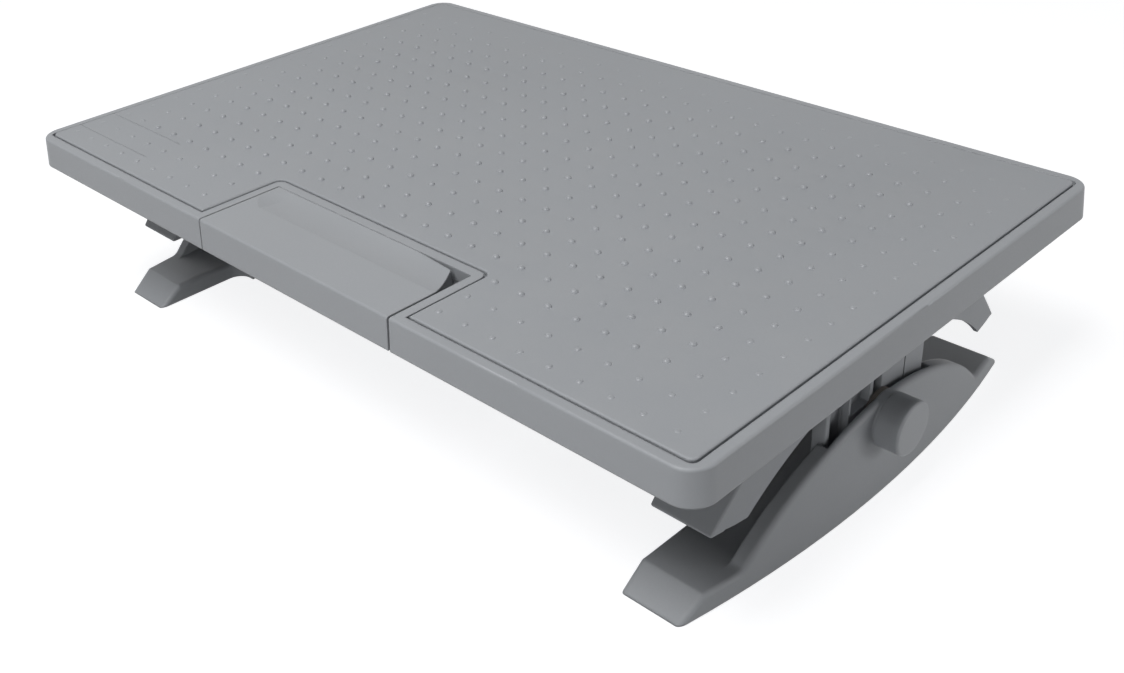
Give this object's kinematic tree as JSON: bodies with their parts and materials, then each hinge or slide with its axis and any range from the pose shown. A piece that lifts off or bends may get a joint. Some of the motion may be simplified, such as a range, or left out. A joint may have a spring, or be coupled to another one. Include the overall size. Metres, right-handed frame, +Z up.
{
  "type": "tilting under desk footrest",
  "caption": "Wide flat footrest on two arched feet; the dotted board rocks about a low pivot in each foot and a front foot pedal frees the brake.",
  "frame": {"origin": "on the floor under the middle of the board", "axes": "+X to the user's right along the board, +Y away from the user, +Z up"},
  "size_m": [0.56, 0.362, 0.1217],
  "materials": {
    "grey_plastic": "matt moulded, fine grain",
    "dark_plastic": "matt moulded",
    "pad_rubber": "matt",
    "brake_rubber": "matt",
    "pale_nylon": "satin",
    "brass": "turned",
    "zinc_steel": "zinc plated"
  },
  "bodies": {
    "base": {"left_foot": "grey_plastic", "right_foot": "grey_plastic", "base_bridge": "grey_plastic", "bridge_screws": "zinc_steel", "floor_pads": "pad_rubber", "brake_sector": "dark_plastic", "sector_screws": "zinc_steel", "left_pivot_bolt": "zinc_steel", "right_pivot_bolt": "zinc_steel", "left_pivot_washer": "zinc_steel", "right_pivot_washer": "zinc_steel", "left_friction_washer": "brake_rubber", "right_friction_washer": "brake_rubber"},
    "platform": {"platform_frame": "grey_plastic", "tread_panel": "grey_plastic", "left_cradle": "grey_plastic", "right_cradle": "grey_plastic", "left_hanger": "grey_plastic", "right_hanger": "grey_plastic", "left_pivot_bush": "pale_nylon", "right_pivot_bush": "pale_nylon", "cradle_screws": "zinc_steel", "hanger_screws": "zinc_steel", "pedal_hinge_pin": "zinc_steel", "brake_lever_pin": "zinc_steel", "pin_clips": "zinc_steel", "brake_spring": "zinc_steel"},
    "pedal": {"foot_pedal": "grey_plastic"},
    "brake": {"brake_lever": "dark_plastic", "brake_lining": "brake_rubber"},
    "left_clamp_knob": {"left_side_knob": "grey_plastic", "left_knob_insert": "brass"},
    "right_clamp_knob": {"right_side_knob": "grey_plastic", "right_knob_insert": "brass"}
  },
  "joints": [
    {"name": "platform_tilt", "type": "hinge", "parent": "base", "child": "platform", "pos_m": [0, 0, 0.0465], "axis": [1, 0, 0], "range_deg": [-13, 13]},
    {"name": "pedal_press", "type": "hinge", "parent": "platform", "child": "pedal", "pos_m": [0, -0.1115, 0.109], "axis": [1, 0, 0], "range_deg": [0, 6], "stiffness_Nm_per_rad": 6, "springref_deg": -3.44},
    {"name": "brake_release", "type": "hinge", "parent": "platform", "child": "brake", "pos_m": [0, 0.058, 0.1075], "axis": [1, 0, 0], "range_deg": [-2.85, 0], "deforming": ["brake_spring"]},
    {"name": "left_knob_turn", "type": "hinge", "parent": "base", "child": "left_clamp_knob", "pos_m": [-0.272, 0, 0.0465], "axis": [-1, 0, 0], "range_deg": [0, 180]},
    {"name": "right_knob_turn", "type": "hinge", "parent": "base", "child": "right_clamp_knob", "pos_m": [0.272, 0, 0.0465], "axis": [1, 0, 0], "range_deg": [0, 180]}
  ],
  "couplings": [
    {"joint": "brake_release", "follows": "pedal_press", "ratio": -0.47}
  ]
}
